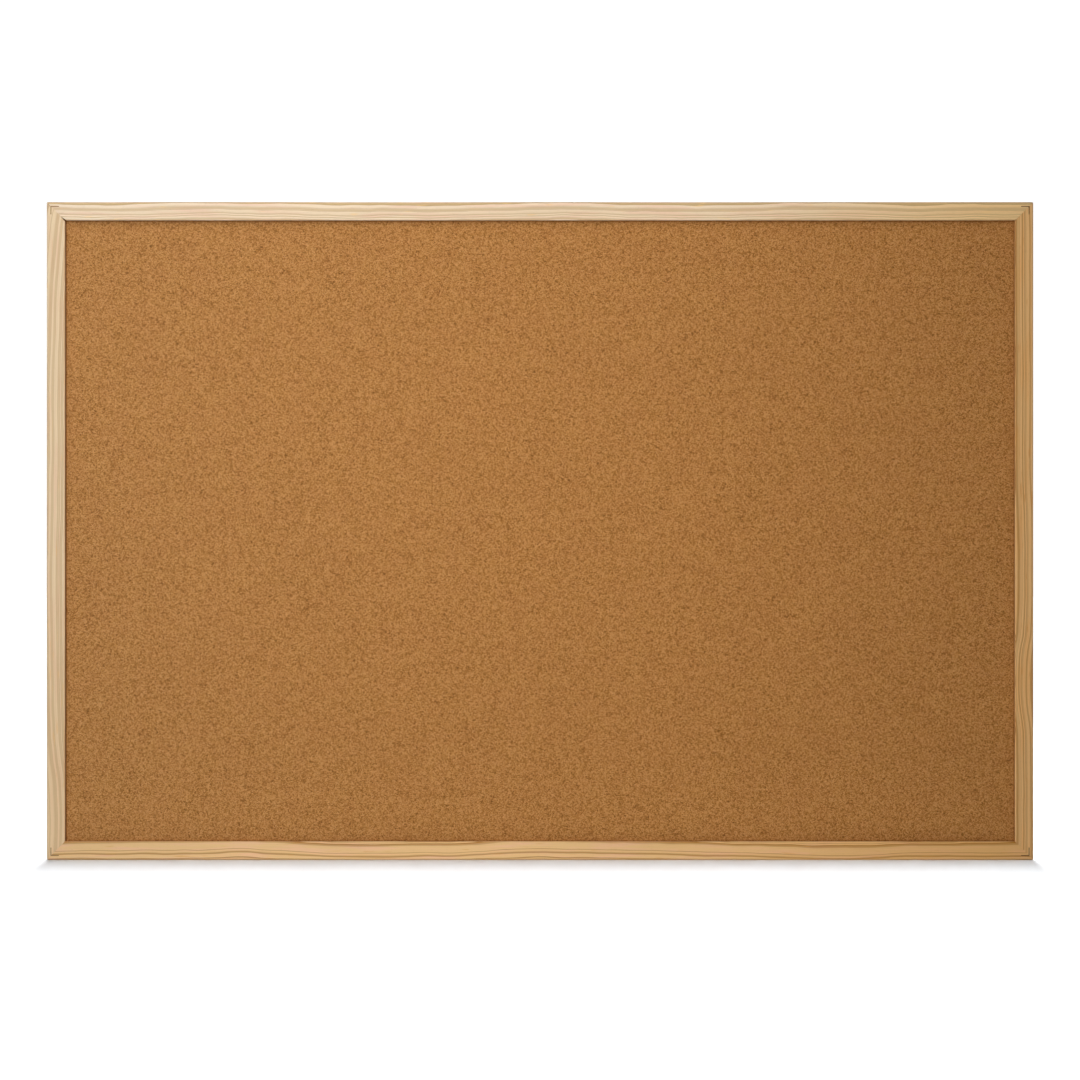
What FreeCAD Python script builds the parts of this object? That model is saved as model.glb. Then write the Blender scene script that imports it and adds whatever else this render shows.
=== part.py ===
import FreeCAD, Part
import math
import os

# A framed cork board, 36 by 24 inches. Four mitred pine rails, nailed front and back at each corner
# with V-nails, hold a panel in a groove: cork in front, softboard behind it and kraft paper at the back.
# Two D-ring hangers are screwed to the backs of the side rails.
#
# Sizes are in millimetres. +X runs along the width, +Y towards the wall and +Z up. The origin is the
# middle of the bottom rail's rear face, so the rails' backs lie in the plane Y = 0.

Vector = FreeCAD.Vector

# The board and its moulding
board_width = 914.4
board_height = 609.6
moulding = 17.0             # the moulding is square: its face width and its depth
outer_round = 2.0           # front edge along the outside of the frame
inner_round = 1.0           # front edge beside the cork
rear_round = 0.8            # both rear edges

# The groove that holds the panel
front_lip = 4.0             # wood in front of the groove
groove_width = 9.2
groove_depth = 6.0

# The panel, which stands on the bottom rail's groove
cork_thickness = 2.0
core_thickness = 6.6
paper_thickness = 0.4
side_gap = 1.0              # panel edge to the groove's floor, left and right
top_gap = 2.0               # the same at the top

# The V-nails
nail_leg = 7.4              # length of each leg from the corner of the V
nail_sheet = 0.85           # steel thickness
nail_height = 7.0           # how far it goes into the wood
nail_edge = 1.2             # height of the sharpened end
nail_tip = 0.2              # thickness left at the sharp end
nail_inset = 4.2            # board's outer edge to the middle of each leg
nail_sunk = 0.5             # top of the nail below the wood

# The hangers
hanger_drop = 90.0          # top of the board to the ring's hinge line
strap_width = 8.0
strap_sheet = 0.8           # steel thickness, folded double
strap_length = 21.0         # hinge line to the rounded end
strap_fillet = 0.6          # where the eye runs into the flat of the strap
hinge_height = 1.9          # hinge line above the wood
wire_radius = 1.0
eye_clearance = 0.05        # between the ring's wire and the strap's eye
ring_half_width = 6.5       # to the wire's centre line
ring_leg = 5.0              # hinge line to the start of the ring's half circle
ring_bend = 1.8             # centre-line radius of the ring's two corners
rest_gap = 0.3              # between the hanging ring and the strap

# The hanger screws
screw_drop = 16.2           # hinge line to the screw
screw_hole_radius = 1.6     # in the strap
head_radius = 2.8
head_height = 2.0
head_round = 0.9
shank_length = 12.0         # under the head
root_radius = 1.05
thread_radius = 1.45
thread_pitch = 1.4
tip_length = 3.0
pilot_clearance = 0.02      # between the thread's crest and the wood
slot_width = 0.9            # cross recess
slot_length = 3.2
slot_depth = 1.2

# Worked out from the sizes above
half_width = board_width / 2
bottom = -moulding / 2
top = bottom + board_height
middle = bottom + board_height / 2
front = -moulding
groove_front = front + front_lip
groove_floor = moulding - groove_depth      # outside of the board to the groove's floor
stile_centre = half_width - moulding / 2
hinge_z = top - hanger_drop
strap_thickness = 2 * strap_sheet
ring_reach = ring_leg + ring_half_width     # hinge line to the middle of the ring's far end
eye_radius = wire_radius + eye_clearance + strap_sheet


def at(x, y, z):
    return Vector(x, y, z)


def box(low, high):
    size = high - low
    return Part.makeBox(size.x, size.y, size.z, low)


def moved(shape, by):
    copy = shape.copy()
    copy.translate(by)
    return copy


def polygon_face(points):
    return Part.Face(Part.makePolygon(points + points[:1]))


def rounded_face(corners):
    """A flat face from a list of (corner, radius). A corner with a radius becomes a tangent arc."""
    edges = []
    ends = []
    count = len(corners)
    for i, (corner, radius) in enumerate(corners):
        back = (corners[i - 1][0] - corner).normalize()
        ahead = (corners[(i + 1) % count][0] - corner).normalize()
        if radius == 0:
            ends.append((corner, corner))
            continue
        half_angle = back.getAngle(ahead) / 2
        inward = (back + ahead).normalize()
        centre = corner + inward * (radius / math.sin(half_angle))
        run = radius / math.tan(half_angle)
        start, end = corner + back * run, corner + ahead * run
        edges.append(Part.Arc(start, centre - inward * radius, end).toShape())
        ends.append((start, end))
    for i in range(count):
        edges.append(Part.makeLine(ends[i - 1][1], ends[i][0]))
    return Part.Face(Part.Wire(Part.__sortEdges__(edges)))


def moulding_section():
    """The moulding's section for a rail along X, with its outer edge at Z = 0 and its rear at Y = 0."""
    groove_rear = groove_front + groove_width
    return rounded_face([
        (at(0, front, 0), outer_round),
        (at(0, front, moulding), inner_round),
        (at(0, groove_front, moulding), 0),
        (at(0, groove_front, groove_floor), 0),
        (at(0, groove_rear, groove_floor), 0),
        (at(0, groove_rear, moulding), 0),
        (at(0, 0, moulding), rear_round),
        (at(0, 0, 0), rear_round),
    ])


def mitred_rail(length):
    """A rail centred on X = 0 with its outer edge at Z = 0, mitred so that the outer edge is the long one."""
    long_half = length / 2
    bar = moved(moulding_section(), at(-long_half, 0, 0)).extrude(at(length, 0, 0))
    short_half = long_half - moulding
    outline = polygon_face([
        at(-long_half, front, 0),
        at(long_half, front, 0),
        at(short_half, front, moulding),
        at(-short_half, front, moulding),
    ])
    return bar.common(outline.extrude(at(0, moulding, 0)))


def placed_rail(length, turn, place):
    """A rail turned about Y by the given degrees, with the middle of its outer rear edge moved to place."""
    rail = mitred_rail(length)
    rail.rotate(at(0, 0, 0), at(0, 1, 0), turn)
    return moved(rail, place)


def nail_outline(thickness, depth):
    """A closed V-nail outline at Y = depth, for a board corner at X = 0, Z = 0 with the board at +X, -Z."""
    outer = nail_inset - thickness / 2
    inner = nail_inset + thickness / 2
    end = nail_inset + nail_leg
    return Part.makePolygon([
        at(outer, depth, -outer),
        at(end, depth, -outer),
        at(end, depth, -inner),
        at(inner, depth, -inner),
        at(inner, depth, -end),
        at(outer, depth, -end),
        at(outer, depth, -outer),
    ])


def v_nail():
    """A V-nail driven towards +Y, with its top at Y = 0 and its far end sharpened."""
    shoulder = nail_height - nail_edge
    body = Part.Face(nail_outline(nail_sheet, 0)).extrude(at(0, shoulder, 0))
    edge = Part.makeLoft([nail_outline(nail_sheet, shoulder), nail_outline(nail_tip, nail_height)], True, True)
    return body.fuse(edge).removeSplitter()


def nail_slot():
    """The wood that one V-nail takes up: its outline, from the wood's face to the nail's far end."""
    face = Part.Face(nail_outline(nail_sheet, -nail_sunk))
    return face.extrude(at(0, nail_sunk + nail_height, 0))


def at_each_corner(shape, rear):
    """Copies of a shape made for the top left corner, one for each corner of the front or rear face."""
    origin = at(0, 0, 0)
    placed = moved(shape, at(-half_width, front + nail_sunk, board_height / 2))
    if rear:
        placed = placed.mirror(at(0, front / 2, 0), at(0, 1, 0))
    upper = [placed, placed.mirror(origin, at(1, 0, 0))]
    lower = [copy.mirror(origin, at(0, 0, 1)) for copy in upper]
    return [moved(copy, at(0, 0, middle)) for copy in upper + lower]


def strap():
    """One hanger's folded strap, for a hinge line through the origin, before it is moved to its stile."""
    wood = -hinge_height
    outside = wood + strap_thickness
    tail = box(at(-strap_width / 2, wood, -strap_length), at(strap_width / 2, outside, 0))
    eye = Part.makeCylinder(eye_radius, strap_width, at(-strap_width / 2, 0, 0), at(1, 0, 0))
    body = tail.fuse(eye).removeSplitter()
    body = body.makeFillet(strap_fillet, [inner_bend(body, outside)])
    round_end = Part.makeCylinder(
        strap_width / 2, strap_thickness, at(0, wood, -strap_length + strap_width / 2), at(0, 1, 0)
    )
    above_end = box(
        at(-strap_width / 2, wood, -strap_length + strap_width / 2),
        at(strap_width / 2, eye_radius, eye_radius),
    )
    body = body.common(round_end.fuse(above_end))
    bore = Part.makeCylinder(
        wire_radius + eye_clearance, strap_width, at(-strap_width / 2, 0, 0), at(1, 0, 0)
    )
    screw_hole = Part.makeCylinder(
        screw_hole_radius, strap_thickness, at(0, wood, -screw_drop), at(0, 1, 0)
    )
    return body.cut(bore).cut(screw_hole)


def inner_bend(body, outside):
    """The straight edge along X where the round eye meets the strap's flat outside."""
    meets = -math.sqrt(eye_radius**2 - outside**2)
    where = at(0, outside, meets)
    return min(body.Edges, key=lambda edge: edge.CenterOfMass.distanceToPoint(where))


def rest_angle():
    """How far the hanging ring leans off the vertical, in radians, to clear the strap."""
    rise = strap_thickness + rest_gap + wire_radius - hinge_height
    return math.asin(rise / ring_reach)


def ring():
    """One D ring hanging from a hinge line through the origin, leaning on its strap."""
    straight_half = ring_half_width - ring_bend
    leg_run = ring_leg - ring_bend
    pieces = [
        Part.makeCylinder(wire_radius, 2 * straight_half, at(-straight_half, 0, 0), at(1, 0, 0)),
        half_ring(at(0, 0, -ring_leg)),
    ]
    for side in (-1, 1):
        x = side * ring_half_width
        pieces.append(Part.makeCylinder(wire_radius, leg_run, at(x, 0, -ring_leg), at(0, 0, 1)))
        pieces.append(ring_corner(side * straight_half, side))
    loop = pieces[0].fuse(pieces[1:]).removeSplitter()
    loop.rotate(at(0, 0, 0), at(1, 0, 0), math.degrees(rest_angle()))
    return loop


def wire_disc(centre, along):
    return Part.Face(Part.Wire(Part.makeCircle(wire_radius, centre, along)))


def half_ring(centre):
    """The ring's lower half circle, from its left leg round to its right leg."""
    start = wire_disc(centre + at(-ring_half_width, 0, 0), at(0, 0, 1))
    return start.revolve(centre, at(0, -1, 0), 180)


def ring_corner(x, side):
    """The quarter bend from the hinge bar's end at x down into a leg."""
    start = wire_disc(at(x, 0, 0), at(1, 0, 0))
    return start.revolve(at(x, 0, -ring_bend), at(0, side, 0), 90)


def screw_profile():
    """Half the screw's outline in the XY plane: the axis is X = 0, the head's seat is Y = 0, tip to -Y."""
    ridges = int((shank_length - tip_length) / thread_pitch)
    thread_start = tip_length - shank_length
    points = [at(0, -shank_length, 0)]
    for ridge in range(ridges):
        y = thread_start + ridge * thread_pitch
        points += [at(root_radius, y, 0), at(thread_radius, y + thread_pitch / 2, 0)]
    points += [
        at(root_radius, thread_start + ridges * thread_pitch, 0),
        at(root_radius, 0, 0),
        at(head_radius, 0, 0),
        at(head_radius, head_height, 0),
        at(0, head_height, 0),
    ]
    return points


def screw():
    """One pan-head screw with its seat on the plane Y = 0, driven towards -Y."""
    solid = polygon_face(screw_profile()).revolve(at(0, 0, 0), at(0, 1, 0), 360)
    rim = max(solid.Edges, key=lambda edge: (edge.BoundBox.YMin, edge.Length))
    solid = solid.makeFillet(head_round, [rim])
    for length_x, length_z in ((slot_length, slot_width), (slot_width, slot_length)):
        low = at(-length_x / 2, head_height - slot_depth, -length_z / 2)
        high = at(length_x / 2, head_height, length_z / 2)
        solid = solid.cut(box(low, high))
    return solid


def screw_places():
    """Where each screw's head seats: on the outside of its strap."""
    return [at(side * stile_centre, strap_thickness, hinge_z - screw_drop) for side in (-1, 1)]


def pilot_hole():
    """The wood that one screw takes up, for a screw whose seat is at Y = 0."""
    radius = thread_radius + pilot_clearance
    return Part.makeCylinder(radius, shank_length, at(0, 0, 0), at(0, -1, 0))


def panel_layer(front_y, thickness):
    """One layer of the panel, from its front face backwards."""
    reach = half_width - groove_floor - side_gap
    low = at(-reach, front_y, bottom + groove_floor)
    high = at(reach, front_y + thickness, top - groove_floor - top_gap)
    return box(low, high)


def rails():
    """The four rails, cut for their nails and screws."""
    shapes = {
        "bottom_rail": placed_rail(board_width, 0, at(0, 0, bottom)),
        "top_rail": placed_rail(board_width, 180, at(0, 0, top)),
        "left_rail": placed_rail(board_height, 90, at(-half_width, 0, middle)),
        "right_rail": placed_rail(board_height, -90, at(half_width, 0, middle)),
    }
    slots = at_each_corner(nail_slot(), rear=False) + at_each_corner(nail_slot(), rear=True)
    holes = [moved(pilot_hole(), place) for place in screw_places()]
    return {name: rail.cut(slots + holes) for name, rail in shapes.items()}


def panel():
    core_front = groove_front + cork_thickness
    paper_front = core_front + core_thickness
    return {
        "cork_sheet": panel_layer(groove_front, cork_thickness),
        "fibreboard_core": panel_layer(core_front, core_thickness),
        "backing_paper": panel_layer(paper_front, paper_thickness),
    }


def fasteners():
    return {
        "front_v_nails": Part.makeCompound(at_each_corner(v_nail(), rear=False)),
        "rear_v_nails": Part.makeCompound(at_each_corner(v_nail(), rear=True)),
        "hanger_screws": Part.makeCompound([moved(screw(), place) for place in screw_places()]),
    }


def hangers():
    shapes = {}
    for name, side in (("left", -1), ("right", 1)):
        hinge = at(side * stile_centre, hinge_height, hinge_z)
        shapes[name + "_hanger_strap"] = moved(strap(), hinge)
        shapes[name + "_hanger_ring"] = moved(ring(), hinge)
    return shapes


os.makedirs("parts", exist_ok=True)
for node, shape in {**rails(), **panel(), **fasteners(), **hangers()}.items():
    shape.exportStep(os.path.join("parts", node + ".step"))
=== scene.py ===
import math

import bmesh
import bpy
from mathutils import Euler, Matrix, Vector, noise


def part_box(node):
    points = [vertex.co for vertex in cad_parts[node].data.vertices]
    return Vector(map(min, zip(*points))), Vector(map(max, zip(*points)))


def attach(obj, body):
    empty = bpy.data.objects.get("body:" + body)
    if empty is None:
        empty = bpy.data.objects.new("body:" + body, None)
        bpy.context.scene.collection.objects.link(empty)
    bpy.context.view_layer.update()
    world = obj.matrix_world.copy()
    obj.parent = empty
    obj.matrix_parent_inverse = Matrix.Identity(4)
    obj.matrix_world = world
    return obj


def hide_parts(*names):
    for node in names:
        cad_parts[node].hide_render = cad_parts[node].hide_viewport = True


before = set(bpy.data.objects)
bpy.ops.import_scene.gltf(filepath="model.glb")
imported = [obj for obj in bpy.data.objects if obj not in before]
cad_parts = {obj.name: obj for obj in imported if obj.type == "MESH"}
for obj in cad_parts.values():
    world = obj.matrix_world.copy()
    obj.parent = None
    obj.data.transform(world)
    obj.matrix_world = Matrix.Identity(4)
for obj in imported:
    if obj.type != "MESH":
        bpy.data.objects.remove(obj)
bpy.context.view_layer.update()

# A framed cork board. The frame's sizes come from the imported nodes, in metres; +X is the board's width,
# -Y its front and +Z up.

MM = 0.001

# What the nodes' boxes give
left, front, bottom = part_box("left_rail")[0]
right, rear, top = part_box("right_rail")[1]
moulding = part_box("left_rail")[1].x - left
cork_low, cork_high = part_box("cork_sheet")
paper_low, paper_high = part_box("backing_paper")
groove_floor = cork_low.z - bottom
nail_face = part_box("front_v_nails")[0].y
nail_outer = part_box("front_v_nails")[0].x - left
nail_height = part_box("front_v_nails")[1].y - nail_face
strap_low, strap_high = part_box("right_hanger_strap")
screw_low, screw_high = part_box("hanger_screws")
middle_height = (bottom + top) / 2
stile_centre = (strap_low.x + strap_high.x) / 2

# Edges and joints of the frame
OUTER_ROUND = 2.0 * MM          # front edge along the outside of the frame
INNER_ROUND = 0.7 * MM          # front edge beside the cork
REAR_ROUND = 0.8 * MM           # both rear edges
ROUND_STEPS = 8
PANEL_PLAY = 0.2 * MM           # the groove is this much wider than the panel
SUPPORT = 0.25 * MM             # flat kept beside each rounded edge
SECTION_STEP = 21 * MM          # between the cross-sections of a rail
CRACK_TIP = 13.3 * MM           # how far in from the outer edges the opened mitre starts
CRACK_MOUTH = 1.1 * MM          # how far it has opened along each rail at the cork
SANDING = 0.05 * MM             # unevenness of the sanded faces
HAIRLINE = 0.005 * MM           # half the gap of a tight mitre
TIP_GAP = 0.25 * MM             # half the extra gap at a mitre's outer tip
NAIL_SHEET = 0.85 * MM          # steel thickness
NAIL_LEG_END = 11.6 * MM        # from the board's edges to the end of a nail's leg

# The hangers
STRAP_SHEET = 0.8 * MM          # steel thickness, folded double
LEAF_SHEET = 0.78 * MM          # one leaf, a hair thinner so that the fold shows
HINGE_HEIGHT = 1.9 * MM         # ring's hinge line above the wood
WIRE = 1.0 * MM                 # ring's wire radius
RING_HALF_WIDTH = 6.5 * MM      # to the wire's centre line
RING_LEG = 5.0 * MM             # hinge line to the start of the ring's half circle
RING_BEND = 1.8 * MM            # centre-line radius of the ring's two corners
EYE_RADIUS = 1.85 * MM          # outside of the strap's eye
EYE_BEND = 0.6 * MM             # where the strap's outer leaf leaves the eye
SCREW_HOLE = 1.6 * MM           # radius of the hole in the strap
PILOT_HOLE = 1.47 * MM          # radius of the hole in the wood
HEAD_RADIUS = 2.8 * MM
HEAD_HEIGHT = 2.0 * MM
HEAD_ROUND = 0.9 * MM
THREAD_RADIUS = 1.45 * MM
THREAD_ROOT = 1.05 * MM
THREAD_PITCH = 1.4 * MM
SCREW_TIP = 3.0 * MM            # length of the point below the first thread
CROSS_LENGTH = 3.2 * MM         # the head's cross recess
CROSS_WIDTH = 0.9 * MM
CROSS_DEPTH = 1.2 * MM
WELD = 0.001 * MM               # points closer than this are one
SHARP = math.radians(35)        # edges that turn by more than this aren't smoothed
hinge_z = strap_high.z - EYE_RADIUS
screw_z = (screw_low.z + screw_high.z) / 2


# ---------------------------------------------------------------- shader maths

class Flow:
    """A number that varies over a surface. Arithmetic on it adds Math nodes to its material."""

    def __init__(self, finish, socket):
        self.finish = finish
        self.socket = socket

    def __add__(self, other):
        return self.finish.math("ADD", self, other)

    def __radd__(self, other):
        return self.finish.math("ADD", other, self)

    def __sub__(self, other):
        return self.finish.math("SUBTRACT", self, other)

    def __rsub__(self, other):
        return self.finish.math("SUBTRACT", other, self)

    def __mul__(self, other):
        return self.finish.math("MULTIPLY", self, other)

    def __rmul__(self, other):
        return self.finish.math("MULTIPLY", other, self)

    def __truediv__(self, other):
        return self.finish.math("DIVIDE", self, other)

    def __pow__(self, other):
        return self.finish.math("POWER", self, other)


class Finish:
    """A material under construction: one Principled shader, and the nodes that feed it."""

    def __init__(self, name, **constants):
        self.material = bpy.data.materials.new(name)
        self.material.use_nodes = True
        self.tree = self.material.node_tree
        self.tree.nodes.clear()
        self.surface = self.tree.nodes.new("ShaderNodeBsdfPrincipled")
        output = self.tree.nodes.new("ShaderNodeOutputMaterial")
        self.tree.links.new(self.surface.outputs[0], output.inputs["Surface"])
        for socket, value in constants.items():
            self.surface.inputs[socket.replace("_", " ")].default_value = value

    def plug(self, socket, value):
        if isinstance(value, Flow):
            self.tree.links.new(value.socket, socket)
        else:
            socket.default_value = value

    def add(self, kind, settings, inputs, output=0):
        """A node of the given kind. Settings come first, then the values or links of its sockets."""
        node = self.tree.nodes.new("ShaderNode" + kind)
        for name, value in settings.items():
            if name == "stops":
                fill_ramp(node.color_ramp, value)
            elif name == "curve":
                fill_curve(node.mapping, value)
            else:
                setattr(node, name, value)
        for key, value in inputs.items():
            self.plug(node.inputs[key], value)
        return Flow(self, node.outputs[output])

    def math(self, operation, *values):
        return self.add("Math", {"operation": operation}, dict(enumerate(values)))

    def place(self, centre, turn=(0, 0, 0), unit=MM):
        """Object coordinates from a centre, turned onto a piece, in millimetres unless a unit is given."""
        coordinates = self.add("TexCoord", {}, {}, "Object")
        scale = (unit, unit, unit)
        inputs = {"Vector": coordinates, "Location": centre, "Rotation": turn, "Scale": scale}
        return self.add("Mapping", {"vector_type": "TEXTURE"}, inputs)

    def split(self, vector):
        return [self.add("SeparateXYZ", {}, {0: vector}, i) for i in range(3)]

    def stretch(self, vector, x, y, z, seed=0.0):
        """The vector divided by a size in millimetres along each axis, and moved by a seed."""
        inputs = {0: vector, 1: (1 / x, 1 / y, 1 / z), 2: (seed, seed * 0.7, seed * 1.3)}
        return self.add("VectorMath", {"operation": "MULTIPLY_ADD"}, inputs)

    def noise(self, vector, detail=2.0, roughness=0.5):
        """Soft noise from 0 to 1, with 0.5 as its middle."""
        inputs = {"Vector": vector, "Scale": 1.0, "Detail": detail, "Roughness": roughness}
        return self.add("TexNoise", {}, inputs, "Fac")

    def step(self, value, low, high):
        """0 below low, 1 above high and a smooth rise between."""
        inputs = {"Value": value, "From Min": low, "From Max": high}
        return self.add("MapRange", {"interpolation_type": "SMOOTHSTEP"}, inputs)

    def ramp(self, factor, stops):
        return self.add("ValToRGB", {"stops": stops}, {0: factor})

    def mix(self, factor, a, b, blend="MIX"):
        """Two colours mixed by a factor."""
        settings = {"data_type": "RGBA", "blend_type": blend}
        return self.add("Mix", settings, {0: factor, 6: a, 7: b}, 2)

    def shade(self, colour, amount):
        """The colour multiplied by an amount that varies over the surface."""
        grey = self.add("CombineColor", {}, {0: amount, 1: amount, 2: amount})
        return self.mix(1.0, colour, grey, "MULTIPLY")

    def finish(self, colour, roughness, height, depth):
        """Plugs in the colour, the roughness and a relief whose full height is depth metres."""
        self.plug(self.surface.inputs["Base Color"], colour)
        self.plug(self.surface.inputs["Roughness"], roughness)
        bump = self.add("Bump", {}, {"Strength": 1.0, "Distance": depth, "Height": height})
        self.plug(self.surface.inputs["Normal"], bump)
        return self.material


def fill_ramp(ramp, stops):
    while len(ramp.elements) < len(stops):
        ramp.elements.new(1.0)
    for element, (place, colour) in zip(ramp.elements, stops):
        element.position = place
        element.color = colour


def fill_curve(mapping, points):
    """A smooth curve through points whose values run from -1 to 1."""
    curve = mapping.curves[0]
    mapping.clip_min_y = -1.0
    mapping.use_clip = True
    while len(curve.points) < len(points):
        curve.points.new(0.5, 0.0)
    for point, place in zip(curve.points, points):
        point.location = place
    mapping.update()


def paint(red, green, blue):
    """A colour as given, 0 to 255, in the linear light that shaders use."""
    def linear(value):
        value /= 255
        return value / 12.92 if value <= 0.04045 else ((value + 0.055) / 1.055) ** 2.4
    return (linear(red), linear(green), linear(blue), 1.0)


# ---------------------------------------------------------------- materials

def pine(name, rail):
    """Pine cut from one place in a trunk, whose rings show as lines along the rail's faces."""
    wood = Finish(name, IOR=1.45, Specular_IOR_Level=0.35)
    place = wood.place(rail["centre"], (0, rail["turn"], 0))
    along, depth, inward = wood.split(place)
    seed = rail["seed"]

    # The grain's wander across the rail: the drift chosen for this piece, then waves that vary with depth
    half_length = rail["length"] / 2 / MM
    share = along / (2 * half_length) + 0.5
    drift = wood.add("FloatCurve", {"curve": rail["drift"]}, {"Value": share}) * rail["drift_size"]
    waves = wood.noise(wood.stretch(place, 62, 26, 26, seed), 1.0) - 0.5
    ripples = wood.noise(wood.stretch(place, 24, 9, 9, seed + 3), 1.0) - 0.5
    across = inward - rail["pith"][1] + drift + waves * rail["wave"] + ripples * rail["ripple"]
    back = depth - rail["pith"][0]
    radius = wood.math("SQRT", across * across + back * back)

    # Growth rings: pale early wood that darkens to a late-wood line with a crisp outer side
    years = {"W": radius / 7 + seed, "Detail": 1.0}
    uneven = wood.add("TexNoise", {"noise_dimensions": "1D"}, years, "Fac")
    turns = radius / rail["spacing"] + uneven * 1.5
    ring = wood.math("FLOOR", turns)
    part = wood.math("FRACT", turns)
    vigour = wood.add("TexWhiteNoise", {"noise_dimensions": "1D"}, {"W": ring + seed}, "Value")
    late = wood.step(part, rail["spring"], 0.80) * (1 - wood.step(part, 0.84, 1.0))
    late = late * (0.60 + 0.40 * vigour)

    # Fibres, streaks and resin flecks along the grain
    fibre = wood.noise(wood.stretch(place, 14, 0.32, 0.32, seed + 5), 2.0)
    streak = wood.noise(wood.stretch(place, 70, 1.3, 1.3, seed + 7), 2.0)
    fleck = wood.step(wood.noise(wood.stretch(place, 3.4, 0.30, 0.30, seed + 9), 0.0), 0.70, 0.78)
    blush = wood.step(wood.noise(wood.stretch(place, 48, 4.2, 4.2, seed + 11), 2.0), 0.45, 0.68)
    fade = wood.noise(wood.stretch(place, 150, 30, 30, seed + 13), 1.0)

    early = wood.mix(blush, rail["early"], rail["blush"])
    clear, ambered, amount = rail["amber"]
    early = wood.mix(wood.step(share, clear, ambered) * amount, early, rail["resin"])
    colour = wood.mix(late * rail["contrast"], early, rail["late"])
    resin = wood.step(wood.noise(wood.stretch(place, 20, 2.4, 2.4, seed + 15), 1.0), 0.66, 0.78)
    colour = wood.mix(resin * 0.5, colour, rail["resin"])
    light = 1 + (fibre - 0.5) * 0.12 + (streak - 0.5) * 0.10 + (fade - 0.5) * 0.12 - fleck * 0.09
    colour = wood.shade(colour, light)
    roughness = 0.60 - late * 0.10 + (fibre - 0.5) * 0.12
    height = fibre * 0.6 + late * 0.5 - fleck * 0.4
    return wood.finish(colour, roughness, height, 0.05 * MM)


def pressed_cork():
    """Fine granules of cork pressed together: small and large grains, dark bark specks and pores."""
    cork = Finish("pressed_cork", Specular_IOR_Level=0.35)
    place = cork.place((0, cork_low.y, middle_height))
    swirl = {"Vector": cork.stretch(place, 1.2, 1.2, 1.2), "Scale": 1.0, "Detail": 1.0}
    warp = cork.add("TexNoise", {}, swirl, "Color")
    bent = cork.add("VectorMath", {"operation": "MULTIPLY_ADD"}, {0: warp, 1: (0.8, 0.8, 0.8), 2: place})

    def grains(size, seed):
        """Random tone of each grain, and how near a point is to its grain's edge."""
        vector = cork.stretch(bent, size, size, size, seed)
        tone = cork.split(cork.add("TexVoronoi", {}, {"Vector": vector, "Scale": 1.0}, "Color"))[0]
        edge = cork.add("TexVoronoi", {"feature": "DISTANCE_TO_EDGE"}, {"Vector": vector, "Scale": 1.0})
        return tone, cork.step(edge, 0.0, 0.16)

    big, big_body = grains(1.5, 0.0)
    small, small_body = grains(0.9, 40.0)
    tone = small * 0.6 + big * 0.4
    body = small_body * 0.6 + big_body * 0.4
    dust = cork.noise(cork.stretch(place, 0.35, 0.35, 0.35, 21.0), 2.0)
    cloud = cork.noise(cork.stretch(place, 60, 60, 60, 5.0), 2.0)
    warmth = cork.step(cork.noise(cork.stretch(place, 16, 16, 16, 31.0), 2.0), 0.35, 0.65)
    bark = cork.step(cork.noise(cork.stretch(place, 0.8, 0.8, 0.8, 51.0), 0.0), 0.62, 0.72)

    colour = cork.ramp(tone, [
        (0.00, paint(116, 72, 22)),
        (0.26, paint(160, 104, 45)),
        (0.50, paint(190, 132, 70)),
        (1.00, paint(209, 152, 92)),
    ])
    colour = cork.mix(warmth * 0.08, colour, paint(186, 114, 74))
    light = 0.90 + body * 0.13 + (dust - 0.5) * 0.16 + (cloud - 0.5) * 0.05
    colour = cork.shade(colour, light)
    colour = cork.mix(bark * 0.6, colour, paint(100, 58, 16))

    # Painted shade: the cork is darkened along the rails' inner edges, where their front lips shade it, most
    # of all on the left
    along, _, up = cork.split(place)
    half_width = ((right - left) / 2 - moulding) / MM
    half_height = ((top - bottom) / 2 - moulding) / MM
    beside = half_width - cork.math("ABSOLUTE", along)
    above = half_height - cork.math("ABSOLUTE", up)
    gap = cork.math("MINIMUM", beside, above)
    painted_rail_shade = (1 - cork.step(gap, 0.2, 2.0)) * 0.42 + (1 - cork.step(gap, 0.0, 9.0)) * 0.12
    painted_rail_shade = painted_rail_shade + (1 - cork.step(along + half_width, 0.3, 1.7)) * 0.34
    colour = cork.mix(painted_rail_shade, colour, paint(84, 46, 14))
    height = body * 0.55 + tone * 0.35 + dust * 0.25 - bark * 0.5
    roughness = 0.72 - tone * 0.08
    return cork.finish(colour, roughness, height, 0.18 * MM)


def kraft_paper():
    """Brown wrapping paper: long fibres, darker and paler flecks and a faint cloudiness."""
    paper = Finish("kraft_paper", Specular_IOR_Level=0.25)
    place = paper.place((0, paper_high.y, middle_height))
    fibres = paper.noise(paper.stretch(place, 5.0, 1.0, 0.45, 3.0), 3.0)
    crossed = paper.noise(paper.stretch(place, 0.5, 1.0, 4.0, 13.0), 3.0)
    cloud = paper.noise(paper.stretch(place, 18, 18, 18, 17.0), 3.0)
    pale = paper.step(paper.noise(paper.stretch(place, 1.6, 1.0, 0.4, 23.0), 1.0), 0.68, 0.76)
    dark = paper.step(paper.noise(paper.stretch(place, 0.5, 1.0, 1.3, 29.0), 1.0), 0.70, 0.78)
    colour = paper.mix(cloud, paint(166, 128, 88), paint(184, 147, 104))
    colour = paper.shade(colour, 0.94 + (fibres - 0.5) * 0.16 + (crossed - 0.5) * 0.12)
    colour = paper.mix(pale * 0.4, colour, paint(210, 181, 142))
    colour = paper.mix(dark * 0.5, colour, paint(112, 80, 50))
    slack = paper.noise(paper.stretch(place, 130, 40, 70, 37.0), 2.0)
    height = fibres * 0.03 + crossed * 0.02 + slack * 1.4
    return paper.finish(colour, 0.82 - (cloud - 0.5) * 0.1, height, 1.5 * MM)


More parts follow.
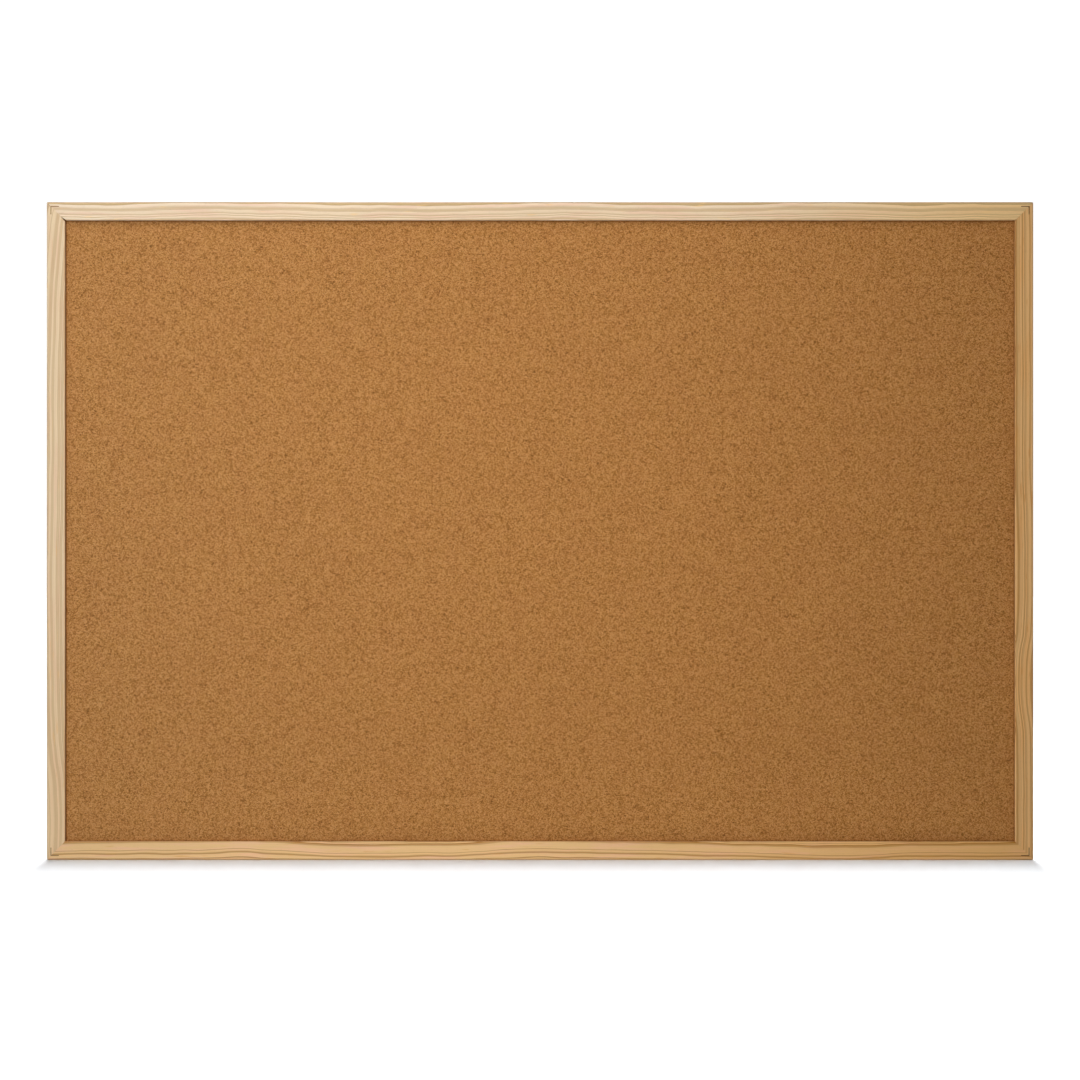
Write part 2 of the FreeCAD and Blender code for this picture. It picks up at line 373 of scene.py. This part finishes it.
def softboard():
    """Grey-brown wood-fibre board: matted fibres in every direction."""
    board = Finish("softboard", Specular_IOR_Level=0.2)
    place = board.place((0, cork_high.y, middle_height))
    long_fibres = board.noise(board.stretch(place, 4.0, 0.5, 0.5, 1.0), 3.0)
    tall_fibres = board.noise(board.stretch(place, 0.5, 0.5, 4.0, 6.0), 3.0)
    colour = board.mix(long_fibres, paint(132, 104, 76), paint(178, 150, 118))
    colour = board.shade(colour, 0.85 + tall_fibres * 0.3)
    return board.finish(colour, 0.9 - tall_fibres * 0.05, long_fibres + tall_fibres, 0.15 * MM)


def nail_steel():
    """Brown lacquered spring steel, stained by the wood and darker towards the board's right."""
    steel = Finish("nail_steel", Metallic=0.1)
    place = steel.place((0, front, middle_height))
    stain = steel.noise(steel.stretch(place, 0.8, 2.5, 0.8, 2.0), 2.0)
    colour = steel.mix(stain, paint(128, 92, 52), paint(178, 138, 88))
    along = steel.split(place)[0]
    colour = steel.mix(steel.step(along, -300, 300) * 0.75, colour, paint(96, 60, 22))
    return steel.finish(colour, 0.45 + stain * 0.25, stain, 0.02 * MM)


def zinc_plate():
    """Bright zinc on pressed steel: a faint crystal mottle, fine scuffs and a bluish cast."""
    zinc = Finish("zinc_plate", Metallic=1.0)
    place = zinc.place((0, rear, hinge_z))
    mottle = zinc.noise(zinc.stretch(place, 1.1, 1.1, 1.1, 4.0), 2.0)
    scuff = zinc.noise(zinc.stretch(place, 0.12, 0.5, 1.8, 8.0), 2.0)
    colour = zinc.mix(mottle, paint(196, 199, 200), paint(222, 224, 222))
    roughness = 0.26 + mottle * 0.14 + (scuff - 0.5) * 0.20
    return zinc.finish(colour, roughness, mottle * 0.5 + scuff * 0.5, 0.012 * MM)


# ---------------------------------------------------------------- mesh helpers

def new_piece(bm, name, material=None):
    """An object at the origin from a bmesh, smooth shaded but for its real edges."""
    bmesh.ops.recalc_face_normals(bm, faces=bm.faces)
    for face in bm.faces:
        face.smooth = True
    mesh = bpy.data.meshes.new(name)
    bm.to_mesh(mesh)
    bm.free()
    mesh.set_sharp_from_angle(angle=SHARP)
    piece = bpy.data.objects.new(name, mesh)
    bpy.context.scene.collection.objects.link(piece)
    if material:
        mesh.materials.append(material)
    return piece


def settle(piece, body, slot, *nodes):
    """Makes a piece ride on a body and stand for the nodes. The slot is not used."""
    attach(piece, body)
    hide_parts(*nodes)


def carve(piece, cutter):
    """Cuts the cutter's solids out of a piece, for good."""
    boolean = piece.modifiers.new("carve", "BOOLEAN")
    boolean.object = cutter
    boolean.operation = "DIFFERENCE"
    boolean.solver = "MANIFOLD"
    graph = bpy.context.evaluated_depsgraph_get()
    carved = bpy.data.meshes.new_from_object(piece.evaluated_get(graph))
    carved.name = piece.name
    piece.modifiers.clear()
    piece.data = carved
    carved.set_sharp_from_angle(angle=SHARP)


def screw_cylinder(bm, x, radius, depth, segments):
    """Adds a cylinder along Y, centred on the rails' backs at the screws' height."""
    place = Matrix.Translation((x, rear, screw_z)) @ Matrix.Rotation(math.pi / 2, 4, "X")
    bmesh.ops.create_cone(bm, cap_ends=True, segments=segments, radius1=radius, radius2=radius, depth=depth,
                          matrix=place)


def turned(centre, turn):
    """From a rail lying along X with its outer edge at Z = 0 to its place in the frame."""
    return Matrix.Translation(centre) @ Euler((0, turn, 0)).to_matrix().to_4x4()


def smooth_step(low, high, value):
    share = min(1, max(0, (value - low) / (high - low)))
    return share * share * (3 - 2 * share)


# ---------------------------------------------------------------- the rails

def section_corners():
    """The moulding's section as (depth, height from the outer edge, rounding)."""
    groove_rear = paper_high.y + PANEL_PLAY
    inner = moulding
    return [
        (front, 0, OUTER_ROUND),
        (front, OUTER_ROUND + SUPPORT, 0),
        (front, nail_outer * 2, 0),
        (front, inner - INNER_ROUND - SUPPORT, 0),
        (front, inner, INNER_ROUND),
        (front + INNER_ROUND + SUPPORT, inner, 0),
        (cork_low.y, inner, 0),
        (cork_low.y, groove_floor, 0),
        (groove_rear, groove_floor, 0),
        (groove_rear, inner, 0),
        (rear - REAR_ROUND - SUPPORT, inner, 0),
        (rear, inner, REAR_ROUND),
        (rear, inner - REAR_ROUND - SUPPORT, 0),
        (rear, REAR_ROUND + SUPPORT, 0),
        (rear, 0, REAR_ROUND),
        (rear - REAR_ROUND - SUPPORT, 0, 0),
        (front + OUTER_ROUND + SUPPORT, 0, 0),
    ]


def rail_mesh(length, openings, seed):
    """A mitred rail along X. openings are half the gaps at the inner ends of its left and right mitres."""
    half = length / 2
    bm = bmesh.new()
    corners = section_corners()
    verts = [bm.verts.new((-half, y, z)) for y, z, _ in corners]
    bm.faces.new(verts)
    for vert, (_, _, rounding) in zip(verts, corners):
        if rounding:
            bmesh.ops.bevel(bm, geom=[vert], offset=rounding, offset_type="OFFSET", affect="VERTICES",
                            segments=ROUND_STEPS, profile=0.5, material=-1)
    start = bm.faces[:]
    grown = bmesh.ops.extrude_face_region(bm, geom=start, use_keep_orig=True)["geom"]
    far = [item for item in grown if isinstance(item, bmesh.types.BMVert)]
    bmesh.ops.translate(bm, verts=far, vec=(length, 0, 0))
    long_edges = [edge for edge in bm.edges if edge.calc_length() > half]
    bmesh.ops.subdivide_edges(bm, edges=long_edges, cuts=int(length / SECTION_STEP), use_grid_fill=False)
    for vert in bm.verts:
        sand(vert, seed)
        mitre(vert, half, openings)
    return bm


def sand(vert, seed):
    """Moves a point of a visible face in by a little, as sanding leaves it."""
    x, y, z = vert.co
    wave = noise.noise(Vector((x * 14 + seed, y * 60, z * 60)))
    amount = SANDING * (wave + 1) / 2
    if y < front + OUTER_ROUND:
        vert.co.y += amount
    if z < OUTER_ROUND:
        vert.co.z += amount


def mitre(vert, half, openings):
    """Slides the points of a rail's square ends onto its mitres."""
    if abs(vert.co.x) < half - 1e-6:
        return
    side = 1 if vert.co.x > 0 else -1
    height = vert.co.z
    gap = HAIRLINE + TIP_GAP * (1 - smooth_step(0, nail_outer, height))
    gap += openings[side > 0] * smooth_step(moulding * 0.5, moulding, height)
    vert.co.x = side * (half - height - gap)


def block(bm, outline, start_y, end_y):
    """Adds a straight-sided block whose outline is given as (x, z)."""
    face = bm.faces.new([bm.verts.new((x, start_y, z)) for x, z in outline])
    grown = bmesh.ops.extrude_face_region(bm, geom=[face], use_keep_orig=True)["geom"]
    far = [item for item in grown if isinstance(item, bmesh.types.BMVert)]
    bmesh.ops.translate(bm, verts=far, vec=(0, end_y - start_y, 0))


def cutting_block():
    """The slots of the V-nails, the two pilot holes and the one mitre that has opened, to cut with."""
    bm = bmesh.new()
    inner = nail_outer + NAIL_SHEET
    outline = [
        (nail_outer, nail_outer), (NAIL_LEG_END, nail_outer), (NAIL_LEG_END, inner),
        (inner, inner), (inner, NAIL_LEG_END), (nail_outer, NAIL_LEG_END),
    ]
    reach = (nail_face - front) + nail_height
    for face_y, way in ((front, 1), (rear, -1)):
        for edge_x, inward_x in ((left, 1), (right, -1)):
            for edge_z, inward_z in ((bottom, 1), (top, -1)):
                slot = [(edge_x + inward_x * u, edge_z + inward_z * v) for u, v in outline]
                block(bm, slot, face_y - way * MM, face_y + way * reach)
    mouth = moulding + CRACK_MOUTH
    beside_cork = moulding + HAIRLINE
    crack = [(CRACK_TIP, CRACK_TIP), (mouth, beside_cork), (mouth, mouth), (beside_cork, mouth)]
    block(bm, [(left + u, top - v) for u, v in crack], front - MM, cork_low.y)
    for side in (-1, 1):
        screw_cylinder(bm, side * stile_centre, PILOT_HOLE, 2 * (rear - screw_low.y), 24)
    return new_piece(bm, "slots_and_holes")


# Each rail's place in the frame, its mitres and the tree that it was cut from. Ends and shares of a length
# run right along the bottom, up the right, left along the top and down the left.
# Drift is how the grain strays across the rail, as shares of drift_size. Spring is the part of each ring
# that stays pale. Amber is where the yellowing of older wood starts and is full, and how strong it is.
RAILS = {
    "top_rail": {
        "length": right - left, "centre": (0, 0, top), "turn": math.pi,
        "openings": (0.06 * MM, 0.06 * MM), "seed": 1.0,
        "pith": (46, -38), "spring": 0.15, "spacing": 3.1, "wave": 3.6, "ripple": 1.8, "drift_size": 3.6,
        "drift": [(0.0, 0.0), (0.1, -0.2), (0.215, 0.4), (0.35, -0.3), (0.48, 0.4), (0.65, -0.3),
                  (0.855, 0.4), (0.93, -0.1), (1.0, 0.0)],
        "early": paint(245, 222, 197), "blush": paint(244, 212, 190), "late": paint(200, 166, 118),
        "resin": paint(246, 204, 136), "contrast": 1.0, "amber": (0.34, 0.0, 0.75),
    },
    "bottom_rail": {
        "length": right - left, "centre": (0, 0, bottom), "turn": 0.0,
        "openings": (0.08 * MM, 0.08 * MM), "seed": 2.0,
        "pith": (30, -30), "spring": 0.36, "spacing": 6.0, "wave": 4.4, "ripple": 1.4, "drift_size": 5.0,
        "drift": [(0.0, 0.1), (0.17, -0.4), (0.33, 0.3), (0.53, -0.5), (0.68, 0.1), (0.81, 0.5),
                  (0.92, 0.1), (1.0, 0.1)],
        "early": paint(234, 192, 138), "blush": paint(238, 190, 148), "late": paint(158, 100, 8),
        "resin": paint(216, 156, 78), "contrast": 1.0, "amber": (0.5, 1.0, 0.45),
    },
    "left_rail": {
        "length": top - bottom, "centre": (left, 0, middle_height), "turn": math.pi / 2,
        "openings": (0.06 * MM, 0.08 * MM), "seed": 3.0,
        "pith": (40, -34), "spring": 0.12, "spacing": 2.8, "wave": 3.0, "ripple": 0.5, "drift_size": 20.0,
        "drift": [(0.0, -0.85), (0.14, -0.15), (0.3, 0.0), (0.78, 0.0), (0.84, -0.12), (0.90, -0.33),
                  (0.95, -0.36), (1.0, -0.25)],
        "early": paint(236, 208, 172), "blush": paint(234, 200, 166), "late": paint(190, 150, 104),
        "resin": paint(232, 184, 128), "contrast": 0.66, "amber": (0.4, 1.0, 0.35),
    },
    "right_rail": {
        "length": top - bottom, "centre": (right, 0, middle_height), "turn": -math.pi / 2,
        "openings": (0.06 * MM, 0.08 * MM), "seed": 4.0,
        "pith": (60, -50), "spring": 0.20, "spacing": 2.6, "wave": 1.6, "ripple": 0.6, "drift_size": 8.0,
        "drift": [(0.0, 0.1), (0.18, 0.1), (0.27, -0.45), (0.35, 0.1), (0.46, 0.25), (0.6, 0.0),
                  (0.8, 0.0), (1.0, -0.1)],
        "early": paint(236, 190, 134), "blush": paint(236, 184, 124), "late": paint(172, 117, 54),
        "resin": paint(208, 142, 72), "contrast": 0.95, "amber": (0.0, 1.0, 0.0),
    },
}


def make_rails():
    cutter = cutting_block()
    for node, rail in RAILS.items():
        bm = rail_mesh(rail["length"], rail["openings"], rail["seed"] * 10)
        bmesh.ops.transform(bm, matrix=turned(rail["centre"], rail["turn"]), verts=bm.verts)
        piece = new_piece(bm, "pine_" + node)
        carve(piece, cutter)
        piece.data.materials.clear()
        piece.data.materials.append(pine("pine_" + node, rail))
        settle(piece, "board", "pine", node)
    bpy.data.objects.remove(cutter)


# ---------------------------------------------------------------- the panel

def sheet_piece(low, high, face_y, columns, rows, relief, name, material):
    """A sheet whose visible face, at face_y, is a fine grid moved in by relief(x, z) metres."""
    bm = bmesh.new()
    centre = (low + high) / 2
    size = high - low
    bmesh.ops.create_grid(bm, x_segments=columns, y_segments=rows, size=0.5)
    upright = Matrix.Diagonal((size.x, 1, size.z, 1)) @ Matrix.Rotation(math.pi / 2, 4, "X")
    place = Matrix.Translation((centre.x, face_y, centre.z))
    bmesh.ops.transform(bm, matrix=place @ upright, verts=bm.verts)
    other_y = high.y if face_y < centre.y else low.y
    way = 1 if other_y > face_y else -1
    border = [edge for edge in bm.edges if edge.is_boundary]
    rim = {vert for edge in border for vert in edge.verts}
    for vert in bm.verts:
        if vert not in rim:
            vert.co.y += way * relief(vert.co.x, vert.co.z)
    grown = bmesh.ops.extrude_edge_only(bm, edges=border)["geom"]
    for item in grown:
        if isinstance(item, bmesh.types.BMVert):
            item.co.y = other_y
    bmesh.ops.holes_fill(bm, edges=[edge for edge in bm.edges if edge.is_boundary], sides=0)
    return new_piece(bm, name, material)


def cork_relief(x, z):
    """Depth of the pressed cork's surface below its highest grains."""
    grains = noise.noise(Vector((x, 0, z)) * 390)
    hollows = noise.noise(Vector((x, 3, z)) * 45)
    return (0.07 + 0.05 * grains + 0.02 * hollows) * MM


def paper_relief(x, z):
    """Depth of the paper's slack below its tightest places."""
    slack = noise.noise(Vector((x * 9, 1, z * 5)))
    ripple = noise.noise(Vector((x * 30, 2, z * 60)))
    return (0.10 + 0.07 * slack + 0.02 * ripple) * MM


def make_panel():
    face = sheet_piece(cork_low, cork_high, cork_low.y, 384, 252, cork_relief, "cork_face", pressed_cork())
    settle(face, "board", "cork", "cork_sheet")
    back = sheet_piece(paper_low, paper_high, paper_high.y, 178, 117, paper_relief, "kraft_backing",
                       kraft_paper())
    settle(back, "board", "kraft_paper", "backing_paper")


# ---------------------------------------------------------------- the hangers

class Sweep:
    """Edges moved through space, straight or round an axis, that leave a surface behind them."""

    def __init__(self, bm, edges):
        self.bm = bm
        self.edges = edges

    def push(self, x, y, z):
        grown = bmesh.ops.extrude_edge_only(self.bm, edges=self.edges)["geom"]
        verts = {item for item in grown if isinstance(item, bmesh.types.BMVert)}
        bmesh.ops.translate(self.bm, verts=list(verts), vec=(x, y, z))
        edges = [item for item in grown if isinstance(item, bmesh.types.BMEdge)]
        self.edges = [edge for edge in edges if verts.issuperset(edge.verts)]

    def turn(self, centre, axis, angle, steps):
        spun = bmesh.ops.spin(self.bm, geom=self.edges, cent=centre, axis=axis, angle=angle, steps=steps)
        self.edges = [item for item in spun["geom_last"] if isinstance(item, bmesh.types.BMEdge)]


def strap_mesh():
    """A folded strap with square tails, for a hinge line along X through the origin and the wood at -Y."""
    width = strap_high.x - strap_low.x
    tail = strap_low.z - hinge_z
    outside = strap_high.y - EYE_RADIUS - rear - 2 * STRAP_SHEET
    bend_y = EYE_BEND - outside
    bend_z = -math.sqrt((EYE_RADIUS + EYE_BEND) ** 2 - bend_y**2)
    leave = math.atan2(-bend_z, bend_y)
    bm = bmesh.new()
    ends = [bm.verts.new((side * width / 2, -HINGE_HEIGHT, tail)) for side in (-1, 1)]
    sheet = Sweep(bm, [bm.edges.new(ends)])
    sheet.push(0, 0, -tail - EYE_RADIUS)
    sheet.push(0, HINGE_HEIGHT - EYE_RADIUS, EYE_RADIUS)
    sheet.turn((0, 0, 0), (1, 0, 0), -(math.pi + leave), 36)
    sheet.turn((0, bend_y, bend_z), (1, 0, 0), leave, 8)
    sheet.push(0, 0, tail - bend_z)
    return bm


def make_strap(side_name, x, zinc):
    bm = strap_mesh()
    bmesh.ops.recalc_face_normals(bm, faces=bm.faces)
    bmesh.ops.solidify(bm, geom=bm.faces[:], thickness=LEAF_SHEET)
    tail = min(vert.co.z for vert in bm.verts)
    corners = [edge for edge in bm.edges if is_tail_corner(edge, tail)]
    bmesh.ops.bevel(bm, geom=corners, offset=(strap_high.x - strap_low.x) / 2 - WELD, affect="EDGES",
                    segments=14, profile=0.5, material=-1)
    bmesh.ops.translate(bm, verts=bm.verts, vec=(x, rear + HINGE_HEIGHT, hinge_z))
    piece = new_piece(bm, side_name + "_folded_strap", zinc)
    drill = bmesh.new()
    screw_cylinder(drill, x, SCREW_HOLE, 12 * MM, 40)
    cutter = new_piece(drill, "screw_drill")
    carve(piece, cutter)
    bpy.data.objects.remove(cutter)
    bevel = piece.modifiers.new("eased_edges", "BEVEL")
    bevel.width = 0.08 * MM
    bevel.segments = 2
    bevel.limit_method = "ANGLE"
    bevel.angle_limit = math.radians(60)
    settle(piece, "board", "zinc_plate", side_name + "_hanger_strap")


def is_tail_corner(edge, tail):
    """Whether an edge runs through the sheet's thickness at a corner of one of the strap's tails."""
    low = all(abs(vert.co.z - tail) < 0.01 * MM for vert in edge.verts)
    return low and abs(edge.verts[0].co.x - edge.verts[1].co.x) < 0.01 * MM


def make_ring(side_name, x, zinc):
    """The D ring: a wire swept along the hinge bar, round two corners, down the legs and round the bow."""
    bm = bmesh.new()
    straight = RING_HALF_WIDTH - RING_BEND
    leg_run = RING_LEG - RING_BEND
    across = Matrix.Rotation(math.pi / 2, 4, "Y")
    disc = bmesh.ops.create_circle(bm, cap_ends=False, segments=20, radius=WIRE, matrix=across)["verts"]
    wire = Sweep(bm, list({edge for vert in disc for edge in vert.link_edges}))
    axis = (0, 1, 0)
    wire.push(straight, 0, 0)
    wire.turn((straight, 0, -RING_BEND), axis, math.pi / 2, 10)
    wire.push(0, 0, -leg_run)
    wire.turn((0, 0, -RING_LEG), axis, math.pi, 40)
    wire.push(0, 0, leg_run)
    wire.turn((-straight, 0, -RING_BEND), axis, math.pi / 2, 10)
    wire.push(straight, 0, 0)
    bmesh.ops.remove_doubles(bm, verts=bm.verts, dist=WELD)
    bmesh.ops.transform(bm, matrix=Matrix.Rotation(ring_lean(), 4, "X"), verts=bm.verts)
    bmesh.ops.translate(bm, verts=bm.verts, vec=(x, rear + HINGE_HEIGHT, hinge_z))
    piece = new_piece(bm, side_name + "_d_ring", zinc)
    settle(piece, side_name + "_ring", "zinc_plate", side_name + "_hanger_ring")


def ring_lean():
    """How far the hanging ring leans off the vertical, from its node's box."""
    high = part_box("right_hanger_ring")[1]
    reach = RING_LEG + RING_HALF_WIDTH
    return math.asin((high.y - WIRE - rear - HINGE_HEIGHT) / reach)


def make_screws(zinc):
    """Two pan-head screws with a cross recess, one object."""
    bm = bmesh.new()
    seat_y = screw_high.y - HEAD_HEIGHT
    shank = seat_y - screw_low.y
    profile = [(0, -shank)]
    ridges = int((shank - SCREW_TIP) / THREAD_PITCH)
    for ridge in range(ridges):
        y = SCREW_TIP - shank + ridge * THREAD_PITCH
        profile += [(THREAD_ROOT, y), (THREAD_RADIUS, y + THREAD_PITCH / 2)]
    profile += [(THREAD_ROOT, SCREW_TIP - shank + ridges * THREAD_PITCH), (THREAD_ROOT, 0)]
    profile += [(HEAD_RADIUS, 0), (HEAD_RADIUS, HEAD_HEIGHT), (0, HEAD_HEIGHT)]
    verts = [bm.verts.new((radius, y, 0)) for radius, y in profile]
    for pair in zip(verts, verts[1:]):
        bm.edges.new(pair)
    bmesh.ops.bevel(bm, geom=[verts[-2]], offset=HEAD_ROUND, affect="VERTICES", segments=ROUND_STEPS,
                    profile=0.5, material=-1)
    bmesh.ops.spin(bm, geom=bm.edges[:], cent=(0, 0, 0), axis=(0, 1, 0), angle=2 * math.pi, steps=48,
                   use_merge=True)
    bmesh.ops.remove_doubles(bm, verts=bm.verts, dist=WELD)
    screw = new_piece(bm, "hanger_screw_pair", zinc)
    cutter = cross_recess(HEAD_HEIGHT)
    carve(screw, cutter)
    bpy.data.objects.remove(cutter)
    pair = bmesh.new()
    for side in (-1, 1):
        one = bmesh.new()
        one.from_mesh(screw.data)
        tilt = Matrix.Rotation(math.radians(24 + 31 * side), 4, "Y")
        place = Matrix.Translation((side * stile_centre, seat_y, screw_z))
        bmesh.ops.transform(one, matrix=place @ tilt, verts=one.verts)
        spare = bpy.data.meshes.new("spare")
        one.to_mesh(spare)
        one.free()
        pair.from_mesh(spare)
        bpy.data.meshes.remove(spare)
    bpy.data.objects.remove(screw)
    piece = new_piece(pair, "pan_head_screws", zinc)
    settle(piece, "board", "zinc_plate", "hanger_screws")


def cross_recess(height):
    """A cross-shaped punch that narrows as it goes in."""
    bm = bmesh.new()
    bmesh.ops.create_cube(bm, size=1.0)
    bmesh.ops.scale(bm, verts=bm.verts, vec=(CROSS_WIDTH, CROSS_DEPTH + 0.2 * MM, CROSS_WIDTH))
    sides = [face for face in bm.faces if abs(face.normal.y) < 0.5]
    for face in bmesh.ops.extrude_discrete_faces(bm, faces=sides)["faces"]:
        bmesh.ops.translate(bm, verts=face.verts, vec=face.normal * (CROSS_LENGTH - CROSS_WIDTH) / 2)
    deep = [vert for vert in bm.verts if vert.co.y < 0]
    bmesh.ops.scale(bm, verts=deep, vec=(0.6, 1, 0.6))
    bmesh.ops.translate(bm, verts=bm.verts, vec=(0, height - CROSS_DEPTH / 2 + 0.1 * MM, 0))
    return new_piece(bm, "cross_punch")


def make_hangers():
    zinc = zinc_plate()
    for side_name, side in (("left", -1), ("right", 1)):
        make_strap(side_name, side * stile_centre, zinc)
        make_ring(side_name, side * stile_centre, zinc)
    make_screws(zinc)


# ---------------------------------------------------------------- pieces kept from the frame

def dress_kept_nodes():
    steel = nail_steel()
    finishes = {"front_v_nails": steel, "rear_v_nails": steel, "fibreboard_core": softboard()}
    for node, material in finishes.items():
        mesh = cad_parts[node].data
        mesh.materials.clear()
        mesh.materials.append(material)


# ---------------------------------------------------------------- studio

WHITE = (1, 1, 1, 1)


def make_floor():
    bm = bmesh.new()
    bmesh.ops.create_grid(bm, x_segments=1, y_segments=1, size=12.0)
    bmesh.ops.translate(bm, verts=bm.verts, vec=(0, 0, bottom - 0.2 * MM))
    pale = (0.88, 0.92, 0.955, 1)
    white = Finish("studio_floor", Base_Color=pale, Roughness=0.9, Specular_IOR_Level=0.0)
    floor = new_piece(bm, "studio_floor", white.material)
    floor.visible_diffuse = False
    floor.visible_shadow = False
    return floor


def soft_light(name, place, aim, width, height, watts, colour):
    """A rectangular soft box at a place, turned towards what it lights."""
    light = bpy.data.lights.new(name, "AREA")
    light.shape = "RECTANGLE"
    light.size = width
    light.size_y = height
    light.energy = watts
    light.color = colour[:3]
    lamp = bpy.data.objects.new(name, light)
    lamp.location = place
    lamp.rotation_euler = (Vector(aim) - Vector(place)).to_track_quat("-Z", "Y").to_euler()
    lamp.visible_camera = False
    bpy.context.scene.collection.objects.link(lamp)
    return lamp


def make_sky(fill, backdrop):
    """An even white surround: backdrop is how bright it looks, fill how much light it gives."""
    world = bpy.data.worlds.new("studio")
    bpy.context.scene.world = world
    world.use_nodes = True
    tree = world.node_tree
    background = tree.nodes["Background"]
    background.inputs["Color"].default_value = WHITE
    path = tree.nodes.new("ShaderNodeLightPath")
    strength = tree.nodes.new("ShaderNodeMapRange")
    strength.inputs["To Min"].default_value = fill
    strength.inputs["To Max"].default_value = backdrop
    tree.links.new(path.outputs["Is Camera Ray"], strength.inputs["Value"])
    tree.links.new(strength.outputs[0], background.inputs["Strength"])


def make_camera():
    """A long lens, level and square to the board, a little below its middle."""
    distance = 2.6
    view_width = 1.0002             # of what is seen in the plane of the board's front
    below_middle = 8.4 * MM
    camera = bpy.data.cameras.new("camera")
    camera.sensor_width = 36.0
    camera.lens = camera.sensor_width * distance / view_width
    tripod = bpy.data.objects.new("camera", camera)
    tripod.location = (0, front - distance, middle_height - below_middle)
    tripod.rotation_euler = (math.pi / 2, 0, 0)
    bpy.context.scene.collection.objects.link(tripod)
    bpy.context.scene.camera = tripod


def overhead_row():
    """A row of suns from overhead to a little behind, for a shade that fades out in front of the board."""
    first_lean = 0.9
    lean_step = 1.5
    weights = [13.4 - i for i in range(10)]
    suns = []
    for i, weight in enumerate(weights):
        strength = 2.75 * weight / sum(weights)
        suns.append(sun("overhead_%d" % i, strength, first_lean + lean_step * i, 1.7))
    suns.append(sun("front_sun", 1.40, -30, 8))
    return suns


def sun(name, strength, lean, size):
    """A sun that leans by some degrees from straight overhead towards the back."""
    light = bpy.data.lights.new(name, "SUN")
    light.energy = strength
    light.angle = math.radians(size)
    lamp = bpy.data.objects.new(name, light)
    lamp.rotation_euler = (math.radians(-lean), 0, 0)
    bpy.context.scene.collection.objects.link(lamp)
    return lamp


def light_apart(floor, floor_lamps, board_lamps):
    """Lights the floor by its own lamps, so that the board's soft shade shows on it."""
    links = (("floor_only", floor_lamps, "INCLUDE"), ("off_floor", board_lamps, "EXCLUDE"))
    for name, lamps, state in links:
        group = bpy.data.collections.new(name)
        group.objects.link(floor)
        group.collection_objects[0].light_linking.link_state = state
        for lamp in lamps:
            lamp.light_linking.receiver_collection = group


def make_studio():
    floor = make_floor()
    make_sky(fill=0.07, backdrop=1.1)
    key = soft_light("key", place=(-0.52, -1.10, 1.57), aim=(-1.27, front, 0.65), width=1.8, height=1.5,
                     watts=21, colour=paint(255, 251, 238))
    low_fill = soft_light("low_fill", place=(-0.03, -0.91, 0.27), aim=(-0.03, front, 0.32), width=0.8,
                          height=0.45, watts=4.1, colour=paint(255, 246, 224))
    low_fill.visible_glossy = False
    left_strip = soft_light("left_strip", place=(-0.95, -1.15, 0.35), aim=(-0.4, front, 0.3), width=0.5,
                            height=0.7, watts=4.6, colour=paint(174, 215, 255))
    bounce = soft_light("bounce", place=(0, front - 0.04, bottom - 0.12), aim=(0, front, bottom), width=0.95,
                        height=0.06, watts=0.3, colour=WHITE)
    bounce.visible_glossy = False
    soft_light("back_fill", place=(0.1, 1.3, 1.1), aim=(0, rear, middle_height), width=1.0, height=1.0,
               watts=21, colour=WHITE)
    sides = [
        soft_light("side_fill", place=(side * 1.7, 0.55, 0.6), aim=(side * right, 0, middle_height),
                   width=0.9, height=0.9, watts=12, colour=WHITE)
        for side in (-1, 1)
    ]
    light_apart(floor, overhead_row(), [key, low_fill, left_strip, bounce] + sides)
    bpy.context.scene.view_settings.view_transform = "Standard"


make_camera()
make_rails()
make_panel()
make_hangers()
dress_kept_nodes()
make_studio()
